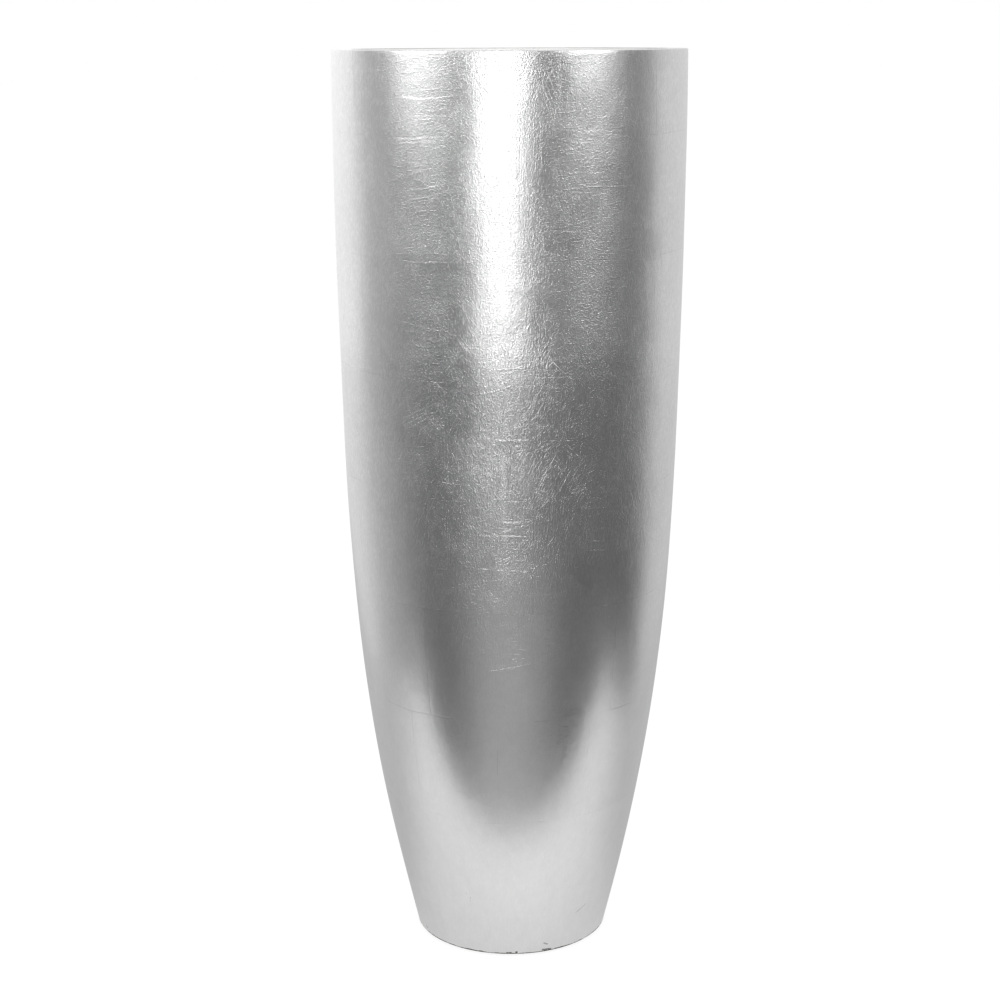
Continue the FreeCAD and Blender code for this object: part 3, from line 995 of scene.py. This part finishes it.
def makeFloor():
    # Pale floor. The camera sees it white with the planter's shadow, and metal sees the studio's tones on it,
    # with
    # painted light: the sheet of paper under the planter lighter near the foot and shaded behind it, and a
    # glow in front.
    size = studio["floorSize"]
    corners = [(-size, -size, 0), (size, -size, 0), (size, size, 0), (-size, size, 0)]
    mesh = bpy.data.meshes.new("floor")
    mesh.from_pydata(corners, [], [(0, 1, 2, 3)])
    material = bpy.data.materials.new("paperFloor")
    mesh.materials.append(material)
    newObject("floor", mesh)
    tree = emptyTree(material)
    place = tree.nodes.new("ShaderNodeTexCoord").outputs["Object"]
    x, y, _ = parts(tree, place)
    reach = vectorMaths(tree, "LENGTH", place)
    away = placeGroup(tree, studioTone, Direction=place, Reach=reach)["Tone"]
    aside = maths(tree, "SUBTRACT", maths(tree, "DEGREES", turnRound(tree, x, y)), studio["glowAside"])
    aside = maths(tree, "ABSOLUTE", aside)
    glow = product(tree, ramp(tree, aside, *studio["glowTurn"], studio["glowTone"], 0.0),
                   ramp(tree, reach, *studio["glowReach"]))
    away = total(tree, away, glow)
    paper = ramp(tree, y, *studio["paperDepth"], *studio["paperTones"])
    inside = product(tree, ramp(tree, maths(tree, "ABSOLUTE", x), *studio["paperWidth"]),
                     ramp(tree, y, *studio["paperFront"]))
    mirrored = addNode(tree, "ShaderNodeEmission", Color=mixValue(tree, inside, away, paper))
    shadowed = addNode(tree, "ShaderNodeBsdfDiffuse", Color=studio["shadowColour"])
    lit = addNode(tree, "ShaderNodeEmission", Strength=studio["shadowLight"])
    seen = addNode(tree, "ShaderNodeAddShader", i0=shadowed.outputs[0], i1=lit.outputs[0])
    bounce = addNode(tree, "ShaderNodeBsdfDiffuse", Color=studio["floorColour"])
    path = tree.nodes.new("ShaderNodeLightPath").outputs
    toCamera = addNode(tree, "ShaderNodeMixShader", i0=path["Is Camera Ray"], i1=bounce.outputs[0],
                       i2=seen.outputs[0])
    toMetal = addNode(tree, "ShaderNodeMixShader", i0=path["Is Glossy Ray"], i1=toCamera.outputs[0],
                      i2=mirrored.outputs[0])
    addNode(tree, "ShaderNodeOutputMaterial", Surface=toMetal.outputs[0])


def makeRoom():
    # White to the camera, an even fill to matt surfaces, and the studio's tones to metal
    scene.world = bpy.data.worlds.new("studioRoom")
    tree = emptyTree(scene.world)
    direction = tree.nodes.new("ShaderNodeTexCoord").outputs["Generated"]
    tone = placeGroup(tree, studioTone, Direction=direction)["Tone"]
    toMetal = addNode(tree, "ShaderNodeBackground", Color=tone)
    toCamera = addNode(tree, "ShaderNodeBackground", Color=(1.0, 1.0, 1.0, 1.0))
    toMatt = addNode(tree, "ShaderNodeBackground", Color=(1.0, 1.0, 1.0, 1.0), Strength=studio["fill"])
    path = tree.nodes.new("ShaderNodeLightPath").outputs
    mixed = addNode(tree, "ShaderNodeMixShader", i0=path["Is Glossy Ray"], i1=toMatt.outputs[0],
                    i2=toMetal.outputs[0])
    mixed = addNode(tree, "ShaderNodeMixShader", i0=path["Is Camera Ray"], i1=mixed.outputs[0],
                    i2=toCamera.outputs[0])
    addNode(tree, "ShaderNodeOutputWorld", Surface=mixed.outputs[0])


softboxes = {
    "key": {"turn": -6.2, "bottom": 0.28, "width": 1.26, "height": 1.62, "distance": 3.1, "radiance": 3.9},
    "left": {"turn": -57.5, "bottom": 1.08, "width": 1.30, "height": 1.10, "distance": 2.6, "radiance": 4.5},
    "right": {"turn": 50.0, "bottom": 1.12, "width": 1.30, "height": 1.10, "distance": 2.6, "radiance": 4.0},
}


def makeSoftbox(name, box):
    # An upright panel that faces the planter's axis. Its power is radiance times pi times area.
    turn = math.radians(box["turn"])
    light = bpy.data.lights.new(name + "Softbox", "AREA")
    light.shape = "RECTANGLE"
    light.size, light.size_y = box["width"], box["height"]
    light.energy = box["radiance"] * math.pi * box["width"] * box["height"]
    lamp = newObject(name + "Softbox", light)
    lamp.location = (
        box["distance"] * math.sin(turn),
        -box["distance"] * math.cos(turn),
        box["bottom"] + box["height"] / 2,
    )
    lamp.rotation_euler = (math.radians(90), 0, turn)
    lamp.visible_camera = False


camera = {
    "place": (-0.0113, -2.1064, 0.9830),
    "tilt": 13.20,      # degrees below level
    "roll": 0.195,
    "lens": 71.26,
    "sensor": 36.0,
    "clip": (0.05, 100.0),
}


def makeCamera():
    lens = bpy.data.cameras.new("photoCamera")
    lens.lens, lens.sensor_width = camera["lens"], camera["sensor"]
    lens.clip_start, lens.clip_end = camera["clip"]
    viewer = newObject("photoCamera", lens)
    viewer.location = camera["place"]
    viewer.rotation_mode = "QUATERNION"
    tilt = Quaternion((1, 0, 0), math.radians(90 - camera["tilt"]))
    viewer.rotation_quaternion = tilt @ Quaternion((0, 0, 1), -math.radians(camera["roll"]))
    scene.camera = viewer


studioTone = makeStudioTone()
makeFloor()
makeRoom()
for boxName, boxValues in softboxes.items():
    makeSoftbox(boxName, boxValues)
makeCamera()
print("studio made")
